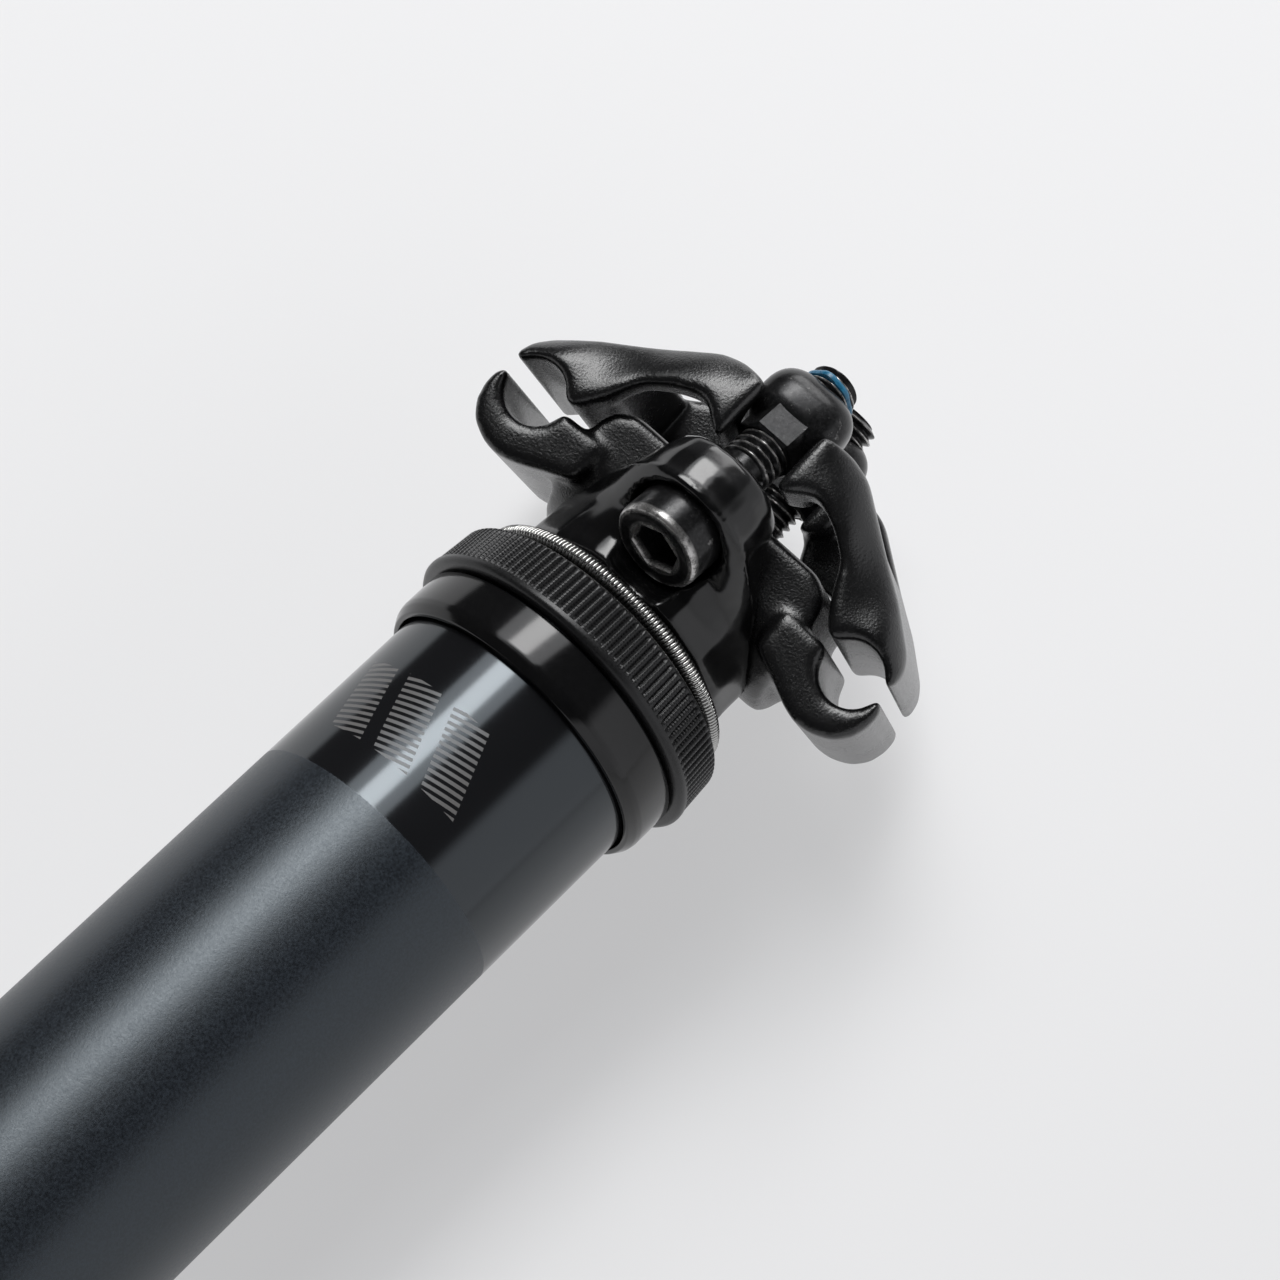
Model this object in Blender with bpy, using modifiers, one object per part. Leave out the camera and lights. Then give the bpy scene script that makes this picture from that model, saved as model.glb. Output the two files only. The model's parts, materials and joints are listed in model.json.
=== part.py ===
"""Telescoping seatpost head end: clamp tube, collar, sliding post, two-bolt rail clamp and lock release.

Lengths in the tables are millimetres. +Z runs up the post to the saddle and -Y is the front of the bicycle.
The origin is on the post's axis, at the top of the length that the seat tube clamps.
"""
import math

import bmesh
import bpy
import numpy as np
from mathutils import Matrix, Vector

MM = 0.001

# Driving dimensions.
TUBE_R = 15.45
TUBE_BORE_R = 13.65
TUBE_BOTTOM_Z = -270.0
TUBE_TOP_Z = 30.5
POST_R = 12.5
POST_BORE_R = 10.0
POST_BOTTOM_Z = -163.0
POST_TOP_Z = 35.3
RAIL_X = 22.0
RAIL_R = 3.6
RAIL_TILT = math.radians(21.8)
CRADLE_CENTRE_Z = 60.0
CRADLE_R = 18.2
SEAT_R = 18.55
BOLT_R = 3.0
SHANK_R = 2.65
BOLT_HEAD_R = 5.0
BOLT_HEAD_H = 5.5
NUT_R = 4.3
NUT_CLEARANCE = 0.32
GAP = 0.3

ROUND = 44
HIDDEN_ROUND = 28
SMALL_ROUND = 20

FRONT_RIM = Vector((0.0, -17.5, 38.75))
FRONT_NUT = Vector((0.0, -14.1, 62.0))
REAR_RIM = Vector((0.0, 17.5, 38.75))
REAR_NUT = Vector((0.0, 8.83, 71.17))

for old in list(bpy.data.objects):
    bpy.data.objects.remove(old, do_unlink=True)

model = bpy.data.collections.new("suspension_seatpost")
bpy.context.scene.collection.children.link(model)
cutters = bpy.data.collections.new("cutters")
bpy.context.scene.collection.children.link(cutters)

COLOURS = {
    "matte_anodised": ((0.030, 0.034, 0.040), 0.9, 0.45),
    "gloss_anodised": ((0.012, 0.012, 0.013), 0.9, 0.12),
    "forged_black": ((0.015, 0.015, 0.016), 0.8, 0.30),
    "black_steel": ((0.050, 0.050, 0.052), 1.0, 0.32),
    "bright_steel": ((0.60, 0.60, 0.58), 1.0, 0.22),
    "brass": ((0.72, 0.52, 0.22), 1.0, 0.30),
    "rubber": ((0.018, 0.018, 0.018), 0.0, 0.60),
    "polymer": ((0.10, 0.10, 0.11), 0.0, 0.45),
    "bare_aluminium": ((0.62, 0.63, 0.64), 1.0, 0.35),
}


def paint(obj, look):
    colour, metallic, roughness = COLOURS[look]
    material = bpy.data.materials.new(obj.name)
    material.use_nodes = True
    shader = material.node_tree.nodes["Principled BSDF"]
    shader.inputs["Base Color"].default_value = (*colour, 1.0)
    shader.inputs["Metallic"].default_value = metallic
    shader.inputs["Roughness"].default_value = roughness
    obj.data.materials.clear()
    obj.data.materials.append(material)


def put(name, mesh, look=None, smooth=True, matrix=None):
    """Link a mesh as a part when it has a look, and as a cutter when it has none."""
    obj = bpy.data.objects.new(name, mesh)
    if look is None:
        cutters.objects.link(obj)
        obj.hide_render = True
        obj.display_type = "WIRE"
    else:
        model.objects.link(obj)
        paint(obj, look)
        if smooth:
            mesh.shade_smooth()
            mesh.set_sharp_from_angle(angle=math.radians(35))
    if matrix is not None:
        obj.matrix_world = matrix
    return obj


def turned(name, profile, look=None, steps=ROUND, matrix=None):
    """A turned piece. The profile (radius, height) runs down the outer side and back up the inner side."""
    mesh = bpy.data.meshes.new(name)
    points = [(r * MM, 0.0, z * MM) for r, z in profile]
    count = len(points)
    on_axis = profile[0][0] == 0.0 and profile[-1][0] == 0.0
    edges = [(i, i + 1) for i in range(count - 1)]
    if not on_axis:
        edges.append((count - 1, 0))
    mesh.from_pydata(points, edges, [])
    obj = put(name, mesh, look, smooth=False, matrix=matrix)
    screw = obj.modifiers.new("turn", "SCREW")
    screw.axis = "Z"
    screw.angle = math.tau
    screw.steps = steps
    screw.render_steps = steps
    screw.use_merge_vertices = True
    screw.merge_threshold = 0.00001
    screw.use_smooth_shade = True
    return obj


def ring(r_out, r_in, z_low, z_high, chamfer=0.25):
    """The profile of a plain ring with its outer corners broken."""
    return [
        (r_in, z_high),
        (r_out - chamfer, z_high),
        (r_out, z_high - chamfer),
        (r_out, z_low + chamfer),
        (r_out - chamfer, z_low),
        (r_in, z_low),
    ]


def torus(r_centre, r_minor, z, sides):
    turns = [math.tau * i / sides for i in range(sides)]
    return [(r_centre + r_minor * math.cos(a), z - r_minor * math.sin(a)) for a in turns]


def slab(name, outline, thickness, look=None, matrix=None, bevel=0.0, segments=1):
    """A flat outline in the piece's own XY plane, made solid both ways by half the thickness."""
    mesh = bpy.data.meshes.new(name)
    mesh.from_pydata([(x * MM, y * MM, 0.0) for x, y in outline], [], [range(len(outline))])
    obj = put(name, mesh, look, smooth=False, matrix=matrix)
    solid = obj.modifiers.new("thickness", "SOLIDIFY")
    solid.thickness = thickness * MM
    solid.offset = 0.0
    if bevel:
        soft = obj.modifiers.new("soften", "BEVEL")
        soft.width = bevel * MM
        soft.segments = segments
        soft.limit_method = "ANGLE"
        soft.angle_limit = math.radians(40)
    return obj


def block(name, low, high, look=None, matrix=None, bevel=0.0):
    """A box between two corners."""
    outline = [(low[0], low[1]), (high[0], low[1]), (high[0], high[1]), (low[0], high[1])]
    lift = Matrix.Translation((0.0, 0.0, (low[2] + high[2]) / 2 * MM))
    placed = lift if matrix is None else matrix @ lift
    return slab(name, outline, high[2] - low[2], look, placed, bevel)


def rod(name, radius, z_low, z_high, look=None, steps=SMALL_ROUND, matrix=None):
    return turned(name, [(0.0, z_high), (radius, z_high), (radius, z_low), (0.0, z_low)], look, steps, matrix)


def boolean(obj, other, operation="DIFFERENCE"):
    modifier = obj.modifiers.new(other.name, "BOOLEAN")
    modifier.operation = operation
    modifier.solver = "EXACT"
    modifier.object = other
    return modifier


def loft(name, rings, look=None):
    """Faces between rings of the same number of points, capped at both ends."""
    mesh = bpy.data.meshes.new(name)
    count = len(rings[0])
    points = [tuple(c * MM for c in p) for level in rings for p in level]
    faces = [tuple(reversed(range(count)))]
    for level in range(len(rings) - 1):
        base = level * count
        for i in range(count):
            j = (i + 1) % count
            faces.append((base + i, base + j, base + count + j, base + count + i))
    top = (len(rings) - 1) * count
    faces.append(tuple(range(top, top + count)))
    mesh.from_pydata(points, [], faces)
    return put(name, mesh, look)


def along(start, direction):
    """A frame at a point whose Z runs along the direction and whose X stays the bicycle's sideways axis."""
    z_axis = Vector(direction).normalized()
    x_axis = Vector((1.0, 0.0, 0.0))
    y_axis = z_axis.cross(x_axis)
    turn = Matrix((x_axis, y_axis, z_axis)).transposed().to_4x4()
    return Matrix.Translation(Vector(start) * MM) @ turn


# ---------------------------------------------------------------- fixed post: tube, collar, seals
KEY_ANGLES = [math.radians(a) for a in (90, 210, 330)]
COUNTERBORE_R = 14.1
THREAD_R = 14.95

outer_tube = turned(
    "outer_tube",
    [
        (COUNTERBORE_R, TUBE_TOP_Z),
        (THREAD_R - 0.3, TUBE_TOP_Z),
        (THREAD_R, TUBE_TOP_Z - 0.4),
        (THREAD_R, 26.0),
        (TUBE_R, 25.4),
        (TUBE_R, TUBE_BOTTOM_Z + 0.6),
        (TUBE_R - 0.4, TUBE_BOTTOM_Z),
        (TUBE_BORE_R, TUBE_BOTTOM_Z),
        (TUBE_BORE_R, -169.4),
        (TUBE_BORE_R + 0.7, -169.4),
        (TUBE_BORE_R + 0.7, -167.4),
        (TUBE_BORE_R, -167.4),
        (TUBE_BORE_R, 7.5),
        (COUNTERBORE_R, 7.5),
    ],
    "matte_anodised",
)
for number, angle in enumerate(KEY_ANGLES, 1):
    groove = block(
        f"key_groove_{number}",
        (12.6, -1.65, -160.0),
        (14.55, 1.65, 6.0),
        matrix=Matrix.Rotation(angle, 4, "Z"),
    )
    boolean(outer_tube, groove)

turned(
    "collar",
    [
        (15.75, 25.7),
        (16.75, 25.7),
        (17.0, 25.45),
        (17.0, 21.4),
        (16.85, 20.95),
        (16.28, 20.05),
        (15.75, 20.05),
    ],
    "gloss_anodised",
)
turned(
    "knurled_cap",
    [
        (15.9, 32.5),
        (16.5, 32.45),
        (17.45, 32.0),
        (17.8, 31.55),
        (18.1, 27.3),
        (18.24, 26.9),
        (18.24, 26.5),
        (17.7, 26.05),
        (15.8, 26.05),
        (15.3, 26.4),
        (15.3, 31.9),
        (14.9, 31.9),
        (14.9, 32.5),
    ],
    "gloss_anodised",
)
turned(
    "wiper_seal",
    [
        (13.4, 35.25),
        (14.2, 35.25),
        (14.45, 34.95),
        (13.85, 34.55),
        (13.8, 33.3),
        (14.5, 32.95),
        (14.5, 31.55),
        (15.0, 31.55),
        (15.0, 30.85),
        (12.85, 30.85),
        (12.85, 34.6),
    ],
    "rubber",
)
turned("garter_spring", torus(15.2, 1.0, 33.9, 8), "bright_steel")
turned("foam_ring", ring(13.8, 12.85, 26.2, 30.4), "polymer", HIDDEN_ROUND)
turned("bushing_clip", ring(13.8, 12.85, 23.6, 25.8), "bright_steel", HIDDEN_ROUND)
turned("upper_bushing", ring(13.8, 12.8, 7.9, 23.2), "polymer", HIDDEN_ROUND)

# ---------------------------------------------------------------- fixed post: inside and lower end
turned("lower_stop_ring", ring(14.05, 10.6, -169.05, -167.75), "bright_steel", HIDDEN_ROUND)
turned("bottom_out_bumper", ring(13.25, 10.7, -167.4, -163.35, 0.5), "rubber", HIDDEN_ROUND)
turned(
    "bottom_plug",
    [
        (3.85, -257.5),
        (12.9, -257.5),
        (13.35, -258.0),
        (13.35, -260.9),
        (12.4, -260.9),
        (12.4, -262.9),
        (13.35, -262.9),
        (13.35, -269.0),
        (1.9, -269.0),
        (1.9, -263.0),
        (3.85, -263.0),
    ],
    "bare_aluminium",
    HIDDEN_ROUND,
)
turned("plug_seal", torus(13.05, 0.32, -261.9, 6), "rubber", HIDDEN_ROUND)
turned(
    "guide_tube",
    [(1.6, -28.0), (3.1, -28.0), (3.5, -28.6), (3.5, -262.7), (1.6, -262.7)],
    "bright_steel",
    SMALL_ROUND,
)
turned(
    "spring_seat",
    [(6.6, -250.5), (7.0, -250.8), (7.0, -255.7), (11.6, -255.7), (12.0, -256.1), (12.0, -257.1), (3.9, -257.1), (3.9, -250.5)],
    "polymer",
    HIDDEN_ROUND,
)

SPRING_TURNS = 11
SPRING_POINTS = 14
SPRING_BOTTOM_Z = -254.2
SPRING_TOP_Z = -164.7
SPRING_R = 8.6
SPRING_WIRE_R = 1.15


def coil(name, look):
    """A closed-end compression spring as a bevelled poly line, turned into a mesh."""
    curve = bpy.data.curves.new(name, "CURVE")
    curve.dimensions = "3D"
    curve.bevel_depth = SPRING_WIRE_R * MM
    curve.bevel_resolution = 1
    curve.use_fill_caps = True
    total = SPRING_TURNS * SPRING_POINTS
    line = curve.splines.new("POLY")
    line.points.add(total)
    closed_turn = SPRING_WIRE_R * 2.25
    height = SPRING_TOP_Z - SPRING_BOTTOM_Z
    open_rise = height - 2 * closed_turn
    for i in range(total + 1):
        turn = i / SPRING_POINTS
        opened = min(max(turn - 1, 0), SPRING_TURNS - 2) / (SPRING_TURNS - 2)
        shut = min(turn, 1) + max(turn - SPRING_TURNS + 1, 0)
        z = SPRING_BOTTOM_Z + closed_turn * shut + open_rise * opened
        angle = math.tau * turn
        line.points[i].co = (
            SPRING_R * MM * math.cos(angle),
            SPRING_R * MM * math.sin(angle),
            z * MM,
            1.0,
        )
    helper = bpy.data.objects.new(name + "_curve", curve)
    mesh = bpy.data.meshes.new_from_object(helper)
    bpy.data.objects.remove(helper)
    shape = bmesh.new()
    shape.from_mesh(mesh)
    bmesh.ops.remove_doubles(shape, verts=shape.verts, dist=0.000001)
    bmesh.ops.recalc_face_normals(shape, faces=shape.faces)
    shape.to_mesh(mesh)
    shape.free()
    mesh.name = name
    mesh.materials.clear()
    return put(name, mesh, look)


coil("main_spring", "bright_steel")

LEVER_PIVOT = (0.0, 5.0, -284.0)
bracket = block("lever_bracket", (-8.2, -1.5, -299.0), (8.2, 16.5, -296.0), "black_steel")
bracket_base = rod("bracket_base", 9.4, -272.6, -269.4, steps=HIDDEN_ROUND)
boolean(bracket, bracket_base, "UNION")
for side in (-1, 1):
    inner_x, outer_x = sorted((side * 3.6, side * 6.0))
    ear = block(f"bracket_ear_{side + 2}", (inner_x, -0.5, -297.0), (outer_x, 8.2, -271.0))
    boolean(bracket, ear, "UNION")
boolean(bracket, rod("rod_bore", 1.7, -280.0, -265.0))
boolean(bracket, rod("stop_bore", 2.8, -305.0, -290.0, matrix=Matrix.Translation((0.0, 0.0125, 0.0))))
sideways = along(LEVER_PIVOT, (0.0, 0.0, 1.0)) @ Matrix.Rotation(math.pi / 2, 4, "Y")
boolean(bracket, rod("pivot_bore", 1.85, -12.0, 12.0, matrix=sideways))
rod("lever_pin", 1.5, -6.6, 6.6, "bright_steel", matrix=sideways)
turned(
    "cable_stop",
    [(0.9, -293.2), (2.0, -293.2), (2.45, -293.7), (2.45, -299.3), (3.4, -299.3), (3.4, -303.0), (0.9, -303.0)],
    "black_steel",
    SMALL_ROUND,
    Matrix.Translation((0.0, 0.0125, 0.0)),
)
LEVER_OUTLINE = [
    (-3.0, -281.9),
    (-3.0, -284.6),
    (1.0, -287.4),
    (6.0, -288.0),
    (11.0, -287.2),
    (15.2, -287.0),
    (16.0, -285.6),
    (15.2, -283.6),
    (9.0, -281.4),
    (5.0, -280.2),
    (1.5, -281.5),
]
upright = Matrix(((0, 0, 1, 0), (1, 0, 0, 0), (0, 1, 0, 0), (0, 0, 0, 1)))
lever = slab("release_lever", LEVER_OUTLINE, 6.4, "black_steel", upright)
boolean(lever, rod("lever_bore", 1.85, -12.0, 12.0, matrix=sideways))
cable_slot = block("cable_slot", (-0.9, 10.8, -292.0), (0.9, 20.0, -275.0))
boolean(lever, cable_slot)
rod("lock_rod", 1.2, -281.2, -31.0, "bright_steel")

# ---------------------------------------------------------------- sliding post
POST_FOOT_R = 12.0
inner_tube = turned(
    "inner_tube",
    [
        (POST_BORE_R, POST_TOP_Z),
        (POST_R - 0.3, POST_TOP_Z),
        (POST_R, POST_TOP_Z - 0.4),
        (POST_R, -141.0),
        (POST_FOOT_R, -141.0),
        (POST_FOOT_R, -159.4),
        (POST_BORE_R, -159.4),
    ],
    "gloss_anodised",
)
KEY_Z = (-138.0, -124.0)
for number, angle in enumerate(KEY_ANGLES, 1):
    spin = Matrix.Rotation(angle, 4, "Z")
    pocket = block(
        f"key_pocket_{number}",
        (11.35, -1.6, KEY_Z[0] - GAP),
        (13.5, 1.6, KEY_Z[1] + GAP),
        matrix=spin,
    )
    boolean(inner_tube, pocket)
    block(
        f"key_{number}",
        (11.7, -1.3, KEY_Z[0]),
        (14.15, 1.3, KEY_Z[1]),
        "brass",
        spin,
    )
turned("lower_bushing", ring(13.35, 12.3, -159.0, -141.4), "polymer", HIDDEN_ROUND)
turned("top_out_bumper", ring(13.3, 12.8, -97.4, -92.6, 0.15), "rubber", HIDDEN_ROUND)
turned(
    "post_foot",
    [
        (9.3, -145.0),
        (9.65, -145.4),
        (9.65, -159.7),
        (12.6, -159.7),
        (12.9, -160.0),
        (12.9, POST_BOTTOM_Z + 0.3),
        (12.6, POST_BOTTOM_Z),
        (3.95, POST_BOTTOM_Z),
        (3.95, -145.0),
    ],
    "bare_aluminium",
    HIDDEN_ROUND,
)
collet = turned(
    "lock_collet",
    [(8.2, -128.0), (9.6, -130.5), (9.6, -144.6), (3.85, -144.6), (3.85, -128.0)],
    "bright_steel",
    HIDDEN_ROUND,
)
boolean(collet, block("collet_slit_1", (-0.5, -12.0, -140.0), (0.5, 12.0, -120.0)))
boolean(collet, block("collet_slit_2", (-12.0, -0.5, -140.0), (12.0, 0.5, -120.0)))

# ---------------------------------------------------------------- forged head
# Plan outlines of one quarter of the head, from the side (x, 0) round to the nose (0, y), at each height.
HEAD_LEVELS = [
    (35.65, [(13.6, 0.0), (12.56, 5.2), (9.62, 9.62), (5.2, 12.56), (0.0, 13.6)]),
    (36.1, [(14.0, 0.0), (12.93, 5.36), (9.9, 9.9), (5.36, 12.93), (0.0, 14.0)]),
    (38.6, [(13.9, 0.0), (12.85, 5.3), (9.85, 9.85), (5.4, 13.0), (0.0, 14.1)]),
    (41.0, [(13.95, 0.0), (13.0, 4.6), (10.4, 9.6), (7.4, 13.4), (4.2, 15.6), (0.0, 16.4)]),
    (42.6, [(14.0, 0.0), (13.3, 3.8), (10.8, 9.6), (8.8, 14.2), (6.9, 17.6), (4.2, 20.2), (0.0, 21.2)]),
    (43.7, [(14.1, 0.0), (13.4, 3.4), (11.0, 9.6), (9.3, 14.6), (7.8, 18.4), (5.6, 21.8), (2.7, 23.3), (0.0, 23.6)]),
    (44.7, [(14.0, 0.0), (13.2, 3.4), (10.6, 9.6), (8.8, 14.6), (7.4, 18.3), (5.3, 21.5), (2.7, 22.9), (0.0, 23.2)]),
    (47.2, [(13.7, 0.0), (12.2, 3.6), (9.2, 9.6), (7.8, 14.4), (7.0, 18.0), (5.4, 21.3), (2.8, 22.8), (0.0, 23.1)]),
    (49.6, [(13.5, 0.0), (11.6, 3.8), (8.3, 9.6), (7.2, 14.0), (6.7, 17.6), (5.2, 20.7), (2.7, 22.2), (0.0, 22.5)]),
    (50.6, [(13.3, 0.0), (11.2, 3.8), (7.8, 9.6), (6.7, 13.8), (6.0, 16.9), (4.5, 19.6), (2.3, 20.9), (0.0, 21.2)]),
]
QUARTER = 12


def quarter_points(outline):
    """Evenly spaced points along a quarter outline, both ends kept."""
    points = np.array(outline)
    steps = np.linalg.norm(np.diff(points, axis=0), axis=1)
    where = np.concatenate([[0.0], np.cumsum(steps)])
    at = np.linspace(0.0, where[-1], QUARTER + 1)
    return np.stack([np.interp(at, where, points[:, k]) for k in range(2)], axis=1)


def plan_ring(z, outline):
    quarter = quarter_points(outline)
    points = [(x, y, z) for x, y in quarter]
    points += [(-x, y, z) for x, y in quarter[-2::-1]]
    points += [(-x, -y, z) for x, y in quarter[1:]]
    points += [(x, -y, z) for x, y in quarter[-2:0:-1]]
    return points


head = loft("seatpost_head", [plan_ring(z, outline) for z, outline in HEAD_LEVELS], "gloss_anodised")
across = Matrix.Translation((0.0, 0.0, CRADLE_CENTRE_Z * MM)) @ Matrix.Rotation(math.pi / 2, 4, "Y")
boolean(head, rod("head_spigot", 9.65, 6.0, 36.5, steps=HIDDEN_ROUND), "UNION")
boolean(head, rod("cradle_seat", SEAT_R, -20.0, 20.0, steps=64, matrix=across))

front_axis = (FRONT_NUT - FRONT_RIM).normalized()
rear_axis = (REAR_NUT - REAR_RIM).normalized()
# Each bolt's frame at its head's rim, with the heights of its nut, its tip and the end of its plain shank.
BOLTS = {
    "front": (along(FRONT_RIM, front_axis), (FRONT_NUT - FRONT_RIM).length, 29.66, 14.2),
    "rear": (along(REAR_RIM, rear_axis), (REAR_NUT - REAR_RIM).length, 40.0, 24.0),
}
WASHER_Z = (BOLT_HEAD_H + GAP, BOLT_HEAD_H + GAP + 1.2)
WASHER_R = 4.6
HEAD_SEAT_Z = BOLT_HEAD_H + GAP
for name, (frame, nut_z, length, shank_z) in BOLTS.items():
    well = turned(
        f"{name}_bolt_well",
        [
            (0.0, WASHER_Z[1] + GAP),
            (WASHER_R + GAP, WASHER_Z[1] + GAP),
            (WASHER_R + GAP, HEAD_SEAT_Z),
            (BOLT_HEAD_R + 0.5, HEAD_SEAT_Z),
            (BOLT_HEAD_R + 0.9, -12.0),
            (0.0, -12.0),
        ],
        None,
        HIDDEN_ROUND,
        frame,
    )
    boolean(head, well)
    boolean(head, rod(f"{name}_bolt_hole", 3.55, 2.0, 30.0, matrix=frame))

# ---------------------------------------------------------------- saddle clamp
# The clamp's own frame: origin on the rocking axis, Y along the rails, Z square to them.
clamp = Matrix.Translation((0.0, 0.0, CRADLE_CENTRE_Z * MM)) @ Matrix.Rotation(RAIL_TILT, 4, "X")
RAIL_DROP = -9.2
CRADLE_HALF = 15.3
JAW_HALF = 15.5

# Cross-sections are drawn in the clamp's XZ plane and made solid along the rails.
section = clamp @ Matrix(((1, 0, 0, 0), (0, 0, -1, 0), (0, 1, 0, 0), (0, 0, 0, 1)))


def arc(x, z, radius, start, end, count):
    """Points on an arc, in degrees from the X direction."""
    angles = np.radians(np.linspace(start, end, count))
    return [(x + radius * math.cos(a), z + radius * math.sin(a)) for a in angles]


# Half a cradle hook outside its rail groove, from the tip round the underside: x outward, z up.
HOOK_UNDERSIDE = [
    (3.75, -0.15),
    (4.45, -0.35),
    (4.75, -2.3),
    (4.2, -4.5),
    (2.9, -6.1),
    (0.8, -7.1),
    (-1.2, -7.3),
    (-3.3, -6.7),
    (-6.0, -5.4),
    (-9.4, -4.0),
]
hook_outline = (
    [(RAIL_X - 9.4, RAIL_DROP + 0.3), (RAIL_X - 4.3, RAIL_DROP + 0.4)]
    + arc(RAIL_X, RAIL_DROP, RAIL_R, 176, 356, 13)
    + [(RAIL_X + x, RAIL_DROP + z) for x, z in HOOK_UNDERSIDE]
)
cradle = block(
    "lower_cradle",
    (-CRADLE_HALF, -14.6, -19.5),
    (CRADLE_HALF, 14.6, RAIL_DROP + 0.8),
    "forged_black",
    clamp,
)
# Half the raised middle of the cradle: x outward, z up.
CROWN = [(12.4, -4.0), (14.1, -4.9), (15.0, -6.3), (15.3, -8.8), (15.3, -10.4)]
crown_outline = CROWN + [(-x, z) for x, z in reversed(CROWN)]
boolean(cradle, slab("cradle_crown", crown_outline, 29.2, None, section), "UNION")
barrel_frame = clamp @ Matrix.Rotation(math.pi / 2, 4, "Y")
boolean(cradle, rod("cradle_round", CRADLE_R, -30.0, 30.0, steps=64, matrix=barrel_frame), "INTERSECT")
for side in (-1, 1):
    outline = [(side * x, z) for x, z in hook_outline]
    hook = slab(f"hook_{side + 2}", outline, 2 * JAW_HALF, None, section)
    boolean(cradle, hook, "UNION")
boolean(cradle, block("front_slot", (-4.3, -24.0, -24.0), (4.3, -10.6, 0.0), matrix=clamp))
boolean(cradle, block("rear_slot", (-4.3, 3.6, -24.0), (4.3, 24.0, 0.0), matrix=clamp))

# One upper half, relative to its rail's centre: x inward, z up.
ARM_OUTLINE = [
    (-4.0, 1.5),
    (-3.8, 3.5),
    (-2.6, 5.2),
    (1.5, 8.5),
    (5.5, 11.1),
    (10.2, 14.4),
    (12.2, 15.8),
    (14.7, 16.4),
    (18.15, 16.1),
    (18.15, 8.6),
    (16.2, 9.9),
    (14.8, 11.0),
    (13.3, 10.9),
    (10.6, 9.7),
    (8.2, 7.9),
    (6.6, 4.6),
    (5.0, 2.2),
    (4.1, 1.5),
]
GROOVE = arc(0.0, 0.0, RAIL_R, 24, 156, 10)
# A quarter of an upper half's plan: x from the post's middle, y along the rail.
ARM_PLAN = [(27.0, 15.2), (25.6, 16.2), (22.0, 16.9), (14.0, 17.3), (8.6, 18.4), (5.4, 19.1), (3.0, 19.2)]
ARM_HALF = 21.0
# The window between the front and rear arms is narrower beside the barrel nuts: x from, x to, half its length.
WINDOWS = ((2.0, 6.6, 8.2), (6.5, 15.6, 13.0))
# The rear arm's web, which closes it down to the cradle: x outward, z up.
WEB = [(4.8, 4.0), (4.8, -0.4), (6.0, -3.2), (12.8, -3.2), (14.2, -2.4), (14.6, 1.4), (12.0, 3.4), (8.0, 4.4)]
WEB_Y = (13.0, 16.6)
NUT_LOCAL = (12.35, 7.1)
for side, name in ((-1, "upper_clamp_left"), (1, "upper_clamp_right")):
    outline = [(side * (RAIL_X - x), RAIL_DROP + z) for x, z in ARM_OUTLINE + GROOVE]
    upper = slab(name, outline, 2 * ARM_HALF, "forged_black", section)
    plan = [(side * x, y) for x, y in ARM_PLAN] + [(side * x, -y) for x, y in reversed(ARM_PLAN)]
    boolean(upper, slab(f"{name}_plan", plan, 60.0, None, clamp), "INTERSECT")
    for number, (near_x, far_x, half) in enumerate(WINDOWS):
        low_x, high_x = sorted((side * near_x, side * far_x))
        boolean(upper, block(f"{name}_window_{number}", (low_x, -half, -8.0), (high_x, half, 12.0), matrix=clamp))
    web_frame = section @ Matrix.Translation((0.0, 0.0, -sum(WEB_Y) / 2 * MM))
    web = slab(f"{name}_web", [(side * x, z) for x, z in WEB], WEB_Y[1] - WEB_Y[0], None, web_frame)
    boolean(upper, web, "UNION")
    for end in (-1, 1):
        nut_y, nut_z = NUT_LOCAL
        notch_frame = clamp @ Matrix.Translation((0.0, end * nut_y * MM, nut_z * MM)) @ Matrix.Rotation(math.pi / 2, 4, "Y")
        notch = rod(f"{name}_notch_{end + 2}", NUT_R + NUT_CLEARANCE, -5.9, 5.9, steps=32, matrix=notch_frame)
        boolean(upper, notch)

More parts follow.
